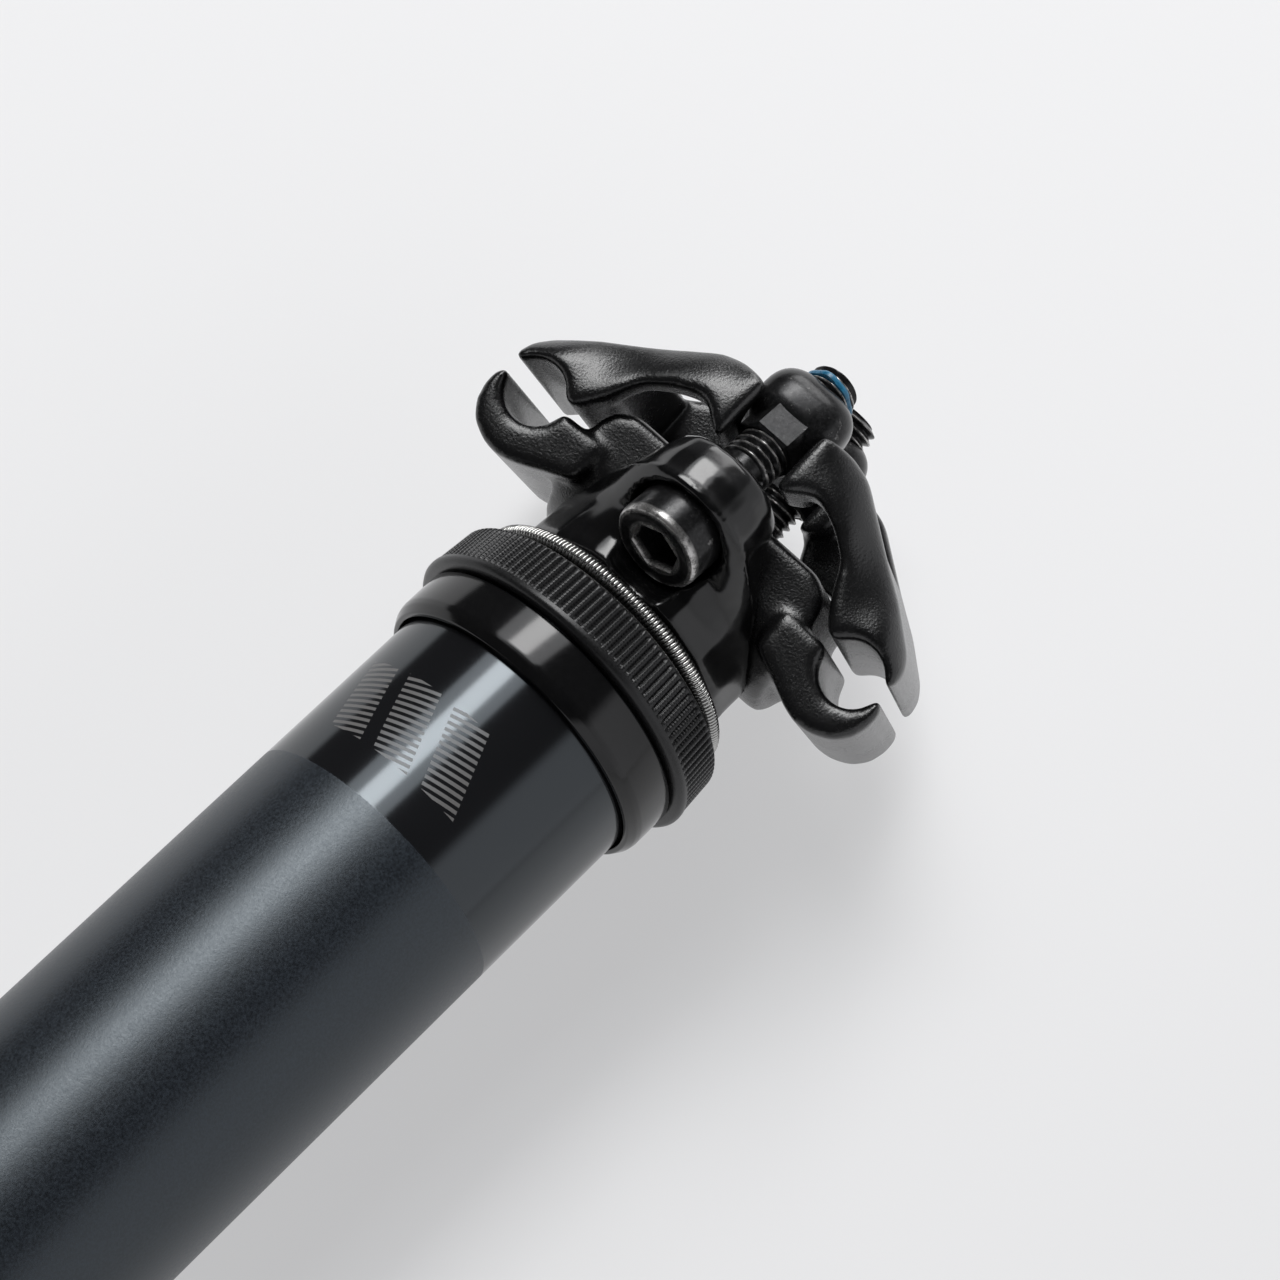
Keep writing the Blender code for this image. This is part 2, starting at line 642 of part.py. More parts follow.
# ---------------------------------------------------------------- bolts, washers and barrel nuts
for name, (frame, nut_z, length, shank_z) in BOLTS.items():
    turned(
        f"{name}_washer",
        [(3.35, WASHER_Z[1]), (WASHER_R, WASHER_Z[1]), (WASHER_R, WASHER_Z[0]), (3.35, WASHER_Z[0])],
        "black_steel",
        SMALL_ROUND,
        frame,
    )
    bolt = turned(
        f"{name}_bolt",
        [
            (0.0, length),
            (BOLT_R - 0.6, length),
            (BOLT_R, length - 0.7),
            (BOLT_R, shank_z),
            (SHANK_R, shank_z - 0.4),
            (SHANK_R, BOLT_HEAD_H),
            (BOLT_HEAD_R - 0.3, BOLT_HEAD_H),
            (BOLT_HEAD_R, BOLT_HEAD_H - 0.3),
            (BOLT_HEAD_R, 0.6),
            (BOLT_HEAD_R - 0.6, 0.0),
            (0.0, 0.0),
        ],
        "black_steel",
        28,
        frame,
    )
    hexagon = [(2.887 * math.cos(a), 2.887 * math.sin(a)) for a in np.radians(np.arange(30, 390, 60))]
    boolean(bolt, slab(f"{name}_socket", hexagon, 6.0, None, frame))

    barrel = frame @ Matrix.Translation((0.0, 0.0, nut_z * MM)) @ Matrix.Rotation(math.pi / 2, 4, "Y")
    nut = turned(
        f"{name}_barrel_nut",
        [
            (0.0, 5.3),
            (1.7, 5.2),
            (3.0, 4.7),
            (3.9, 3.8),
            (NUT_R, 2.6),
            (NUT_R, -2.6),
            (3.9, -3.8),
            (3.0, -4.7),
            (1.7, -5.2),
            (0.0, -5.3),
        ],
        "black_steel",
        28,
        barrel,
    )
    neck = [(3.5, -2.4), (3.5, 2.4), (2.4, 3.5), (-2.4, 3.5), (-3.5, 2.4), (-3.5, -2.4), (-2.4, -3.5), (2.4, -3.5)]
    neck_frame = frame @ Matrix.Translation((0.0, 0.0, (nut_z - 3.15) * MM))
    boolean(nut, slab(f"{name}_nut_neck", neck, 6.3, None, neck_frame), "UNION")
    boolean(nut, rod(f"{name}_thread", BOLT_R + 0.15, 0.0, 60.0, steps=28, matrix=frame))
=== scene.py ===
import json
import math

import bmesh
import bpy
import numpy as np
from mathutils import Matrix, Vector

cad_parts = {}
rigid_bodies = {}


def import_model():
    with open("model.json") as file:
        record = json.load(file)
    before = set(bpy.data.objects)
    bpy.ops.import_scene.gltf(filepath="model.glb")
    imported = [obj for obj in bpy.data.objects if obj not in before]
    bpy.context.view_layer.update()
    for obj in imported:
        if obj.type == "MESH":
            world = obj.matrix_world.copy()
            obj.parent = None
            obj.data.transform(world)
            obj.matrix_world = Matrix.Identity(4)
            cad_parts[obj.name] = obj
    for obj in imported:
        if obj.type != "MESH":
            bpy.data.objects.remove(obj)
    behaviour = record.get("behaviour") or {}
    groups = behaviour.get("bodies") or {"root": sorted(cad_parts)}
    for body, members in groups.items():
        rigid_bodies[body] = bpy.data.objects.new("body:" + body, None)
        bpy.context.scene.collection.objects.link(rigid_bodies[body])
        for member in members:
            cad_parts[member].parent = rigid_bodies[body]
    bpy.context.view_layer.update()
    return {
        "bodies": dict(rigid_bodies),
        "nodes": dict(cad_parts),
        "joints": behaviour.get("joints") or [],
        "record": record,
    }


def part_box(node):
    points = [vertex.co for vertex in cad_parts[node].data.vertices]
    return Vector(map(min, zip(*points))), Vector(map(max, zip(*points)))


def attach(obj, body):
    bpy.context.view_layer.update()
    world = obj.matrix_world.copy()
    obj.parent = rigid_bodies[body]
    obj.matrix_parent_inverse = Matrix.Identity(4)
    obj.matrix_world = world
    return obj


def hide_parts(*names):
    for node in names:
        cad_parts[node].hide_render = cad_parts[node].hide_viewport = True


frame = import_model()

nodes = frame["nodes"]
boxes = {name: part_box(name) for name in nodes}
scene = bpy.context.scene
MM = 0.001
TAU = math.tau


# ---------------------------------------------------------------- node helpers
def new_material(name):
    material = bpy.data.materials.new(name)
    material.use_nodes = True
    tree = material.node_tree
    shader = tree.nodes["Principled BSDF"]
    return material, tree, shader


def add(tree, kind, **inputs):
    node = tree.nodes.new(kind)
    for key, value in inputs.items():
        node.inputs[key.replace("_", " ")].default_value = value
    return node


def math_node(tree, operation, a, b=None):
    node = tree.nodes.new("ShaderNodeMath")
    node.operation = operation
    for socket, value in zip(node.inputs, (a, b)):
        if value is None:
            continue
        if isinstance(value, (int, float)):
            socket.default_value = value
        else:
            tree.links.new(value, socket)
    return node.outputs[0]


def ramp(tree, value, low, high, to_low=0.0, to_high=1.0):
    node = tree.nodes.new("ShaderNodeMapRange")
    node.clamp = True
    node.inputs["From Min"].default_value = low
    node.inputs["From Max"].default_value = high
    node.inputs["To Min"].default_value = to_low
    node.inputs["To Max"].default_value = to_high
    tree.links.new(value, node.inputs["Value"])
    return node.outputs["Result"]


def mix_colours(tree, factor, a, b):
    node = tree.nodes.new("ShaderNodeMix")
    node.data_type = "RGBA"
    tree.links.new(factor, node.inputs["Factor"])
    for socket, value in ((node.inputs[6], a), (node.inputs[7], b)):
        if isinstance(value, tuple):
            socket.default_value = (*value, 1.0)
        else:
            tree.links.new(value, socket)
    return node.outputs[2]


def coordinates(tree):
    """Object coordinates in millimetres, as a vector and as its three parts."""
    source = tree.nodes.new("ShaderNodeTexCoord")
    scale = tree.nodes.new("ShaderNodeVectorMath")
    scale.operation = "SCALE"
    scale.inputs["Scale"].default_value = 1000.0
    tree.links.new(source.outputs["Object"], scale.inputs[0])
    split = tree.nodes.new("ShaderNodeSeparateXYZ")
    tree.links.new(scale.outputs["Vector"], split.inputs[0])
    return scale.outputs["Vector"], split.outputs


def distance_from_axis(tree, x, y):
    squares = [math_node(tree, "MULTIPLY", side, side) for side in (x, y)]
    return math_node(tree, "SQRT", math_node(tree, "ADD", *squares))


def noise(tree, vector, scale, detail=2.0, roughness=0.5):
    node = add(tree, "ShaderNodeTexNoise", Scale=scale, Detail=detail, Roughness=roughness)
    tree.links.new(vector, node.inputs["Vector"])
    return node.outputs["Fac"]


def bump(tree, shader, height, strength, distance):
    node = add(tree, "ShaderNodeBump", Strength=strength, Distance=distance)
    tree.links.new(height, node.inputs["Height"])
    before = shader.inputs["Normal"]
    if before.is_linked:
        tree.links.new(before.links[0].from_socket, node.inputs["Normal"])
    tree.links.new(node.outputs["Normal"], before)


# ---------------------------------------------------------------- materials
def plain_finish(name, dark, light, metallic, rough, grain, grain_depth, patches=0.08):
    """A finish whose colour, roughness and relief all vary a little at the grain's size in millimetres."""
    material, tree, shader = new_material(name)
    vector, _ = coordinates(tree)
    cloud = noise(tree, vector, patches, 4.0, 0.6)
    fine = noise(tree, vector, 1.0 / grain, 3.0, 0.55)
    both = math_node(tree, "MULTIPLY_ADD", fine, 0.5)
    both.node.inputs[2].default_value = 0.0
    tree.links.new(math_node(tree, "MULTIPLY", cloud, 0.5), both.node.inputs[2])
    tree.links.new(mix_colours(tree, ramp(tree, both, 0.3, 0.7), dark, light), shader.inputs["Base Color"])
    tree.links.new(ramp(tree, both, 0.3, 0.7, rough[0], rough[1]), shader.inputs["Roughness"])
    shader.inputs["Metallic"].default_value = metallic
    if grain_depth:
        bump(tree, shader, fine, 0.6, grain_depth * MM)
    return material, tree, shader


def tube_material():
    """One tube, blasted and matte below its mark line and polished above it, with an etched generic hatch."""
    material, tree, shader = new_material("outer_tube_two_finish")
    vector, (x, y, z) = coordinates(tree)
    grain = noise(tree, vector, 3.6, 3.0, 0.6)
    cloud = noise(tree, vector, 0.05, 3.0, 0.6)
    wobble = math_node(tree, "MULTIPLY", math_node(tree, "SUBTRACT", noise(tree, vector, 2.2), 0.5), 0.12)
    level = math_node(tree, "ADD", z, wobble)
    matte = ramp(tree, level, -0.06, 0.06, 1.0, 0.0)

    blasted = mix_colours(tree, ramp(tree, grain, 0.35, 0.68), (0.003, 0.004, 0.006), (0.011, 0.015, 0.021))
    polished = mix_colours(tree, cloud, (0.0045, 0.0045, 0.005), (0.008, 0.008, 0.009))
    etched, shade = hatch(tree, x, y, z)
    polished = mix_colours(tree, etched, polished, shade)
    tree.links.new(mix_colours(tree, matte, polished, blasted), shader.inputs["Base Color"])

    rough_blasted = ramp(tree, grain, 0.3, 0.7, 0.31, 0.42)
    rough_polished = math_node(tree, "ADD", ramp(tree, etched, 0.0, 1.0, 0.0, 0.32), 0.13)
    blend_rough = tree.nodes.new("ShaderNodeMix")
    tree.links.new(matte, blend_rough.inputs["Factor"])
    tree.links.new(rough_polished, blend_rough.inputs[2])
    tree.links.new(rough_blasted, blend_rough.inputs[3])
    tree.links.new(blend_rough.outputs[0], shader.inputs["Roughness"])
    shader.inputs["Specular IOR Level"].default_value = 0.68
    shader.inputs["Specular Tint"].default_value = (0.84, 0.93, 1.0, 1.0)

    turned_lines = tool_marks(tree, z, 0.22)
    lines = math_node(tree, "MULTIPLY", turned_lines, math_node(tree, "SUBTRACT", 1.0, matte))
    bump(tree, shader, lines, 0.35, 0.004 * MM)
    sand = math_node(tree, "MULTIPLY", grain, matte)
    bump(tree, shader, sand, 0.45, 0.030 * MM)
    return material


def tool_marks(tree, along, pitch):
    """Fine grooves left by turning, uneven in depth."""
    phase = math_node(tree, "MULTIPLY", along, TAU / pitch)
    wave = math_node(tree, "SINE", phase)
    step = tree.nodes.new("ShaderNodeTexNoise")
    step.noise_dimensions = "1D"
    step.inputs["Scale"].default_value = 2.4
    step.inputs["Detail"].default_value = 5.0
    tree.links.new(along, step.inputs["W"])
    return math_node(tree, "MULTIPLY", math_node(tree, "ADD", wave, 1.0), step.outputs["Fac"])


# The hatch: plain leaning blocks of parallel lines round the polished band.
HATCH_CENTRE_ANGLE = math.radians(-103.0)
HATCH_RADIUS = 15.45
HATCH_LOW_Z, HATCH_HIGH_Z = 4.6, 13.4
HATCH_STARTS = (-6.6, -0.2, 6.2)
HATCH_WIDTH = 4.6
HATCH_LEAN = 0.42
HATCH_PITCH = 0.78


def hatch(tree, x, y, z):
    """(how etched, colour) of the generic hatch blocks."""
    angle = math_node(tree, "ARCTAN2", y, x)
    turn = math_node(tree, "SUBTRACT", angle, HATCH_CENTRE_ANGLE)
    around = math_node(tree, "MULTIPLY", turn, HATCH_RADIUS)
    leaning = math_node(tree, "ADD", around, math_node(tree, "MULTIPLY", z, HATCH_LEAN))
    inside = None
    for start in HATCH_STARTS:
        after = math_node(tree, "GREATER_THAN", leaning, start)
        before = math_node(tree, "LESS_THAN", leaning, start + HATCH_WIDTH)
        block = math_node(tree, "MULTIPLY", after, before)
        inside = block if inside is None else math_node(tree, "MAXIMUM", inside, block)
    above = math_node(tree, "GREATER_THAN", z, HATCH_LOW_Z)
    below = math_node(tree, "LESS_THAN", z, HATCH_HIGH_Z)
    inside = math_node(tree, "MULTIPLY", inside, math_node(tree, "MULTIPLY", above, below))
    slant = math_node(tree, "SUBTRACT", z, math_node(tree, "MULTIPLY", around, 0.25))
    stripe = math_node(tree, "FRACT", math_node(tree, "MULTIPLY", slant, 1.0 / HATCH_PITCH))
    line = math_node(tree, "LESS_THAN", stripe, 0.5)
    return math_node(tree, "MULTIPLY", inside, line), (0.105, 0.10, 0.097)


def gloss_material(name, marks=0.0, pitch=0.25):
    material, tree, shader = plain_finish(
        name, (0.0040, 0.0040, 0.0043), (0.0075, 0.0075, 0.0080), 0.3, (0.09, 0.14), 0.6, 0.0
    )
    shader.inputs["Specular IOR Level"].default_value = 0.6
    if marks:
        _, (_, _, z) = coordinates(tree)
        bump(tree, shader, tool_marks(tree, z, pitch), marks, 0.004 * MM)
    return material


def forged_material():
    """Blasted and anodised forging: satin black, finely pitted."""
    dark, light = (0.0022, 0.0022, 0.0024), (0.0070, 0.0070, 0.0074)
    material, _, shader = plain_finish(
        "forged_satin_black", dark, light, 0.0, (0.22, 0.30), 0.26, 0.075, patches=0.12
    )
    shader.inputs["Specular IOR Level"].default_value = 0.65
    return material


def head_material():
    dark, light = (0.0022, 0.0022, 0.0024), (0.0045, 0.0045, 0.0048)
    material, tree, shader = plain_finish(
        "head_polished_black", dark, light, 0.1, (0.13, 0.20), 1.6, 0.006, patches=0.2
    )
    vector, _ = coordinates(tree)
    waves = noise(tree, vector, 0.35, 2.0, 0.5)
    bump(tree, shader, waves, 0.2, 0.12 * MM)
    shader.inputs["Specular IOR Level"].default_value = 0.6
    return material


def knurl_material():
    """Satin cap whose ridges are cut across by fine turned lines."""
    material, tree, shader = new_material("knurled_satin_black")
    vector, (_, _, z) = coordinates(tree)
    grain = noise(tree, vector, 4.0, 3.0, 0.6)
    colour = mix_colours(tree, grain, (0.010, 0.010, 0.0105), (0.030, 0.030, 0.031))
    tree.links.new(colour, shader.inputs["Base Color"])
    tree.links.new(ramp(tree, grain, 0.3, 0.7, 0.26, 0.38), shader.inputs["Roughness"])
    shader.inputs["Metallic"].default_value = 0.5
    phase = math_node(tree, "MULTIPLY", z, TAU / 0.36)
    lines = math_node(tree, "SINE", phase)
    band = math_node(tree, "MULTIPLY", ramp(tree, z, 27.2, 27.35), ramp(tree, z, 31.2, 31.35, 1.0, 0.0))
    bump(tree, shader, math_node(tree, "MULTIPLY", lines, band), 0.8, 0.035 * MM)
    return material


def bolt_coordinates(tree, frame):
    """Coordinates in millimetres in a bolt's own frame, whose Z is its axis."""
    vector, _ = coordinates(tree)
    mapping = tree.nodes.new("ShaderNodeMapping")
    mapping.vector_type = "TEXTURE"
    mapping.inputs["Location"].default_value = frame.translation / MM
    mapping.inputs["Rotation"].default_value = frame.to_euler()
    tree.links.new(vector, mapping.inputs["Vector"])
    split = tree.nodes.new("ShaderNodeSeparateXYZ")
    tree.links.new(mapping.outputs["Vector"], split.inputs[0])
    return mapping.outputs["Vector"], split.outputs


def oxide_material(name, frame=None):
    """Black oxide steel. A bolt's rim, its socket's mouth and its thread crests are worn bright."""
    material, tree, shader = new_material(name)
    vector, (x, y, z) = bolt_coordinates(tree, frame) if frame else coordinates(tree)
    fine = noise(tree, vector, 2.6, 4.0, 0.65)
    scuff = noise(tree, vector, 0.9, 5.0, 0.7)
    black = mix_colours(tree, ramp(tree, fine, 0.35, 0.7), (0.008, 0.008, 0.0085), (0.030, 0.030, 0.031))
    worn = ramp(tree, scuff, 0.62, 0.74, 0.0, 0.35)
    if frame:
        radius = distance_from_axis(tree, x, y)
        rim = math_node(tree, "MULTIPLY", ramp(tree, radius, 4.25, 4.75), ramp(tree, z, 0.35, 1.0, 1.0, 0.0))
        mouth = math_node(tree, "MULTIPLY", ramp(tree, radius, 3.35, 2.95), ramp(tree, radius, 2.2, 2.5))
        mouth = math_node(tree, "MULTIPLY", mouth, ramp(tree, z, 0.15, 0.9, 1.0, 0.0))
        crest = math_node(tree, "MULTIPLY", ramp(tree, radius, 2.84, 2.96), ramp(tree, z, 7.0, 8.0))
        crest = math_node(tree, "MULTIPLY", crest, ramp(tree, radius, 3.1, 3.02))
        edges = math_node(tree, "MAXIMUM", math_node(tree, "MAXIMUM", rim, mouth), crest)
        broken = ramp(tree, scuff, 0.34, 0.56)
        worn = math_node(tree, "MAXIMUM", worn, math_node(tree, "MULTIPLY", edges, broken))
    tree.links.new(mix_colours(tree, worn, black, (0.52, 0.51, 0.50)), shader.inputs["Base Color"])
    tree.links.new(ramp(tree, worn, 0.0, 1.0, 0.24, 0.30), shader.inputs["Roughness"])
    tree.links.new(ramp(tree, worn, 0.0, 1.0, 0.55, 1.0), shader.inputs["Metallic"])
    bump(tree, shader, scuff, 0.35, 0.03 * MM)
    return material


# ---------------------------------------------------------------- shapes
def frame_at(start, direction):
    """A frame whose Z runs along the direction and whose X stays the bicycle's sideways axis."""
    z_axis = Vector(direction).normalized()
    x_axis = Vector((1.0, 0.0, 0.0))
    y_axis = z_axis.cross(x_axis)
    turn = Matrix((x_axis, y_axis, z_axis)).transposed().to_4x4()
    return Matrix.Translation(Vector(start)) @ turn


def link(name, mesh, matrix=None):
    obj = bpy.data.objects.new(name, mesh)
    scene.collection.objects.link(obj)
    if matrix is not None:
        obj.matrix_world = matrix
    return obj


def soften(mesh, degrees=32.0):
    mesh.shade_smooth()
    mesh.set_sharp_from_angle(angle=math.radians(degrees))


def surface(name, profile, steps, radius=None, matrix=None, closed=True, sharp=32.0):
    """A turned skin of a profile (radius, height) in millimetres. The radius function may vary it."""
    angles = np.arange(steps) * TAU / steps
    count = len(profile)
    points = []
    for r, z in profile:
        rr = np.full(steps, float(r))
        if radius is not None:
            rr = radius(rr, z, angles)
        points.append(np.stack([rr * np.cos(angles), rr * np.sin(angles), np.full(steps, float(z))], axis=1))
    grid = np.concatenate(points) * MM
    faces = []
    rows = count if closed else count - 1
    for i in range(rows):
        a, b = i * steps, ((i + 1) % count) * steps
        for j in range(steps):
            k = (j + 1) % steps
            faces.append((a + j, b + j, b + k, a + k))
    if not closed:
        faces.append(tuple(range(steps)))
        faces.append(tuple(reversed(range((count - 1) * steps, count * steps))))
    mesh = bpy.data.meshes.new(name)
    mesh.from_pydata(grid.tolist(), [], faces)
    shape = bmesh.new()
    shape.from_mesh(mesh)
    bmesh.ops.remove_doubles(shape, verts=shape.verts, dist=1e-7)
    bmesh.ops.recalc_face_normals(shape, faces=shape.faces)
    shape.to_mesh(mesh)
    shape.free()
    if matrix is not None:
        mesh.transform(matrix)
    soften(mesh, sharp)
    return link(name, mesh)


def rounded(profile, cut=0.22, steps=3):
    """The same closed profile with each corner broken by a small arc."""
    count = len(profile)
    result = []
    for i in range(count):
        here = Vector(profile[i])
        before = Vector(profile[i - 1]) - here
        after = Vector(profile[(i + 1) % count]) - here
        reach = min(cut, before.length * 0.35, after.length * 0.35)
        start = here + before.normalized() * reach
        end = here + after.normalized() * reach
        for k in range(steps + 1):
            t = k / steps
            point = start * (1 - t) ** 2 + here * 2 * t * (1 - t) + end * t**2
            result.append((point.x, point.y))
    return result


def modified(obj, name, steps):
    """A copy of a CAD node's mesh with modifiers worked into it."""
    mesh = obj.data.copy()
    worker = link(name + "_work", mesh)
    for kind, settings in steps:
        modifier = worker.modifiers.new(kind, kind)
        for key, value in settings.items():
            setattr(modifier, key, value)
    bpy.context.view_layer.update()
    graph = bpy.context.evaluated_depsgraph_get()
    result = bpy.data.meshes.new_from_object(worker.evaluated_get(graph))
    bpy.data.objects.remove(worker)
    result.name = name
    result.materials.clear()
    result.shade_smooth()
    return link(name, result)


def forged(node, name, voxel, rounds, swell=0.0):
    """A CAD solid with its edges run together as a forging's are, then grown back by what that wore away."""
    obj = modified(
        nodes[node],
        name,
        [
            ("WELD", {"merge_threshold": 1e-6}),
            ("REMESH", {"mode": "VOXEL", "voxel_size": voxel * MM}),
            ("SMOOTH", {"factor": 0.5, "iterations": rounds}),
            ("DISPLACE", {"strength": swell * MM, "mid_level": 0.0}),
        ],
    )
    keep_inside(obj.data, node)
    return obj


# The clamp's own frame: its origin, and its Y axis along the saddle rails.
RAIL_TILT = math.radians(21.8)
CLAMP = Matrix.Translation((0.0, 0.0, 0.060)) @ Matrix.Rotation(RAIL_TILT, 4, "X")
# How far the front arms' flat faces lean back, and how far they are rounded.
LEAN_MM, BULGE_MM = 1.5, 0.9


def keep_inside(mesh, node):
    """Holds a shape within the box of the CAD node that it stands for."""
    low, high = (np.array(corner) for corner in boxes[node])
    points = np.empty(len(mesh.vertices) * 3)
    mesh.vertices.foreach_get("co", points)
    mesh.vertices.foreach_set("co", np.clip(points.reshape(-1, 3), low, high).ravel())
    mesh.update()


def lean_front(mesh):
    """Leans the front arm's flat face back and rounds it, over the arm's own height at each place."""
    to_clamp = np.array(CLAMP.inverted())
    points = np.empty(len(mesh.vertices) * 3)
    mesh.vertices.foreach_get("co", points)
    points = points.reshape(-1, 3)
    local = (points @ to_clamp[:3, :3].T + to_clamp[:3, 3]) / MM
    out, along, up = np.abs(local[:, 0]), local[:, 1], local[:, 2]
    front = along < -14.0
    centres, low, high = [], [], []
    for centre in np.arange(4.0, 27.0, 0.5):
        heights = up[front & (np.abs(out - centre) < 0.5)]
        if len(heights):
            centres.append(centre)
            low.append(heights.min())
            high.append(heights.max())
    soft = np.ones(5) / 5
    low = np.convolve(np.pad(low, 2, "edge"), soft, "valid")
    high = np.convolve(np.pad(high, 2, "edge"), soft, "valid")
    bottom, top = np.interp(out, centres, low), np.interp(out, centres, high)
    place = np.clip((2 * up - top - bottom) / np.maximum(top - bottom, 1.0), -1.0, 1.0)
    fade = np.clip((-along - 12.0) / 4.0, 0.0, 1.0) * np.interp(out, [5.0, 9.0], [0.25, 1.0])
    local[:, 1] += (LEAN_MM * place + BULGE_MM * place**2) * fade
    from_clamp = np.array(CLAMP)
    mesh.vertices.foreach_set("co", (local * MM @ from_clamp[:3, :3].T + from_clamp[:3, 3]).ravel())
    mesh.update()


def forged_arm(node, name, voxel, rounds, swell):
    """An upper clamp: remeshed, its front face leant back, then its edges run together."""
    rough = modified(
        nodes[node],
        name + "_rough",
        [("WELD", {"merge_threshold": 1e-6}), ("REMESH", {"mode": "VOXEL", "voxel_size": voxel * MM})],
    )
    lean_front(rough.data)
    smooth = {"factor": 0.5, "iterations": rounds}
    grow = {"strength": swell * MM, "mid_level": 0.0}
    obj = modified(rough, name, [("SMOOTH", smooth), ("DISPLACE", grow)])
    bpy.data.objects.remove(rough)
    keep_inside(obj.data, node)
    return obj


def dress(obj, body, material, slot, *replaced):
    obj.data.materials.clear()
    obj.data.materials.append(material)
    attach(obj, body)
    if replaced:
        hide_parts(*replaced)
    return obj


# ---------------------------------------------------------------- tube, collar and seals
tube_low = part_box("outer_tube")[0].z / MM
tube_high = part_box("outer_tube")[1].z / MM
TUBE_R, BORE_R, MOUTH_R, THREAD_R = 15.45, 13.65, 14.1, 14.95
tube_profile = [
    (MOUTH_R, tube_high),
    (THREAD_R - 0.3, tube_high),
    (THREAD_R, tube_high - 0.4),
    (THREAD_R, 26.0),
    (TUBE_R, 25.4),
    (TUBE_R, 0.0),
    (TUBE_R, tube_low + 0.6),
    (TUBE_R - 0.15, tube_low + 0.15),
    (TUBE_R - 0.5, tube_low),
    (BORE_R, tube_low),
    (BORE_R, 7.5),
    (MOUTH_R, 7.5),
]
tube = surface("outer_tube_skin", tube_profile, 160)
dress(tube, "outer_post", tube_material(), "matte_anodised", "outer_tube")

gloss_turned = gloss_material("gloss_turned", 0.30, 0.21)
collar = surface(
    "collar_ring",
    rounded([(15.75, 25.7), (17.0, 25.7), (17.0, 21.5), (16.85, 20.9), (16.3, 20.05), (15.75, 20.05)], 0.16),
    160,
)
dress(collar, "outer_post", gloss_turned, "gloss_anodised", "collar")

RIDGES = 120
KNURL_DEPTH = 0.34
KNURL_LOW_Z, KNURL_HIGH_Z, KNURL_LEAST_R = 27.15, 31.75, 17.4


def knurl(radius, z, angles):
    """Ridges along the post, fading in above the plain lower edge and out at the top."""
    fade = np.clip((z - KNURL_LOW_Z) / 0.25, 0, 1) * np.clip((KNURL_HIGH_Z - z) / 0.2, 0, 1)
    if fade <= 0 or radius[0] < KNURL_LEAST_R:
        return radius
    wave = np.abs((angles * RIDGES / TAU) % 1.0 - 0.5) * 2.0
    valley = np.clip(1.0 - wave * 1.5, 0, 1)
    return radius - KNURL_DEPTH * fade * valley


cap_top = [(14.9, 32.5), (15.9, 32.5), (16.5, 32.42), (17.25, 32.08), (17.62, 31.86), (17.76, 31.72)]
cap_side = [(17.8 + (31.55 - z) * 0.072, z) for z in np.linspace(31.6, 27.05, 16)]
cap_low = [(18.22, 27.0), (18.24, 26.75), (18.22, 26.5), (18.05, 26.25)]
cap_under = [(17.7, 26.05), (15.8, 26.05), (15.3, 26.4)]
cap_inside = [(15.3, 31.9), (14.9, 31.9)]
cap_profile = cap_top + cap_side + cap_low + cap_under + cap_inside
cap = surface("knurled_cap_ring", cap_profile, RIDGES * 10, knurl, sharp=40)
dress(cap, "outer_post", knurl_material(), "gloss_anodised", "knurled_cap")

rubber, _, _ = plain_finish(
    "seal_rubber", (0.010, 0.010, 0.010), (0.022, 0.022, 0.022), 0.0, (0.5, 0.65), 0.3, 0.02
)
wiper = surface(
    "wiper_lip",
    rounded(
        [
            (13.4, 35.25),
            (14.2, 35.25),
            (14.45, 34.95),
            (13.85, 34.55),
            (13.8, 33.3),
            (14.5, 32.95),
            (14.5, 31.55),
            (15.0, 31.55),
            (15.0, 30.85),
            (12.85, 30.85),
            (12.85, 34.6),
        ],
        0.12,
    ),
    128,
)
dress(wiper, "outer_post", rubber, "rubber", "wiper_seal")

GARTER_R, GARTER_MINOR, GARTER_Z = 15.2, 0.78, 33.9
GARTER_TURNS, GARTER_POINTS, GARTER_WIRE = 212, 12, 0.21


def garter():
    """A fine coil closed into a ring."""
    curve = bpy.data.curves.new("garter_coil", "CURVE")
    curve.dimensions = "3D"
    curve.bevel_depth = GARTER_WIRE * MM
    curve.bevel_resolution = 1
    line = curve.splines.new("POLY")
    total = GARTER_TURNS * GARTER_POINTS
    line.points.add(total - 1)
    line.use_cyclic_u = True
    for i in range(total):
        around = TAU * i / total
        roll = TAU * i / GARTER_POINTS
        r = GARTER_R + GARTER_MINOR * math.cos(roll)
        z = GARTER_Z + GARTER_MINOR * math.sin(roll)
        line.points[i].co = (r * math.cos(around) * MM, r * math.sin(around) * MM, z * MM, 1.0)
    helper = bpy.data.objects.new("garter_helper", curve)
    mesh = bpy.data.meshes.new_from_object(helper)
    bpy.data.objects.remove(helper)
    mesh.materials.clear()
    mesh.shade_smooth()
    return link("garter_coil", mesh)


steel, _, _ = plain_finish(
    "bright_spring_steel", (0.34, 0.34, 0.335), (0.52, 0.515, 0.50), 1.0, (0.16, 0.26), 0.25, 0.006
)
dress(garter(), "outer_post", steel, "bright_steel", "garter_spring")

# ---------------------------------------------------------------- sliding post
post_low, post_high = (corner.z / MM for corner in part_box("inner_tube"))
inner = surface(
    "sliding_tube_skin",
    [
        (10.0, post_high),
        (12.2, post_high),
        (12.5, post_high - 0.4),
        (12.5, -141.0),
        (12.0, -141.0),
        (12.0, post_low),
        (10.0, post_low),
    ],
    128,
)
dress(inner, "inner_post", gloss_turned, "gloss_anodised", "inner_tube")

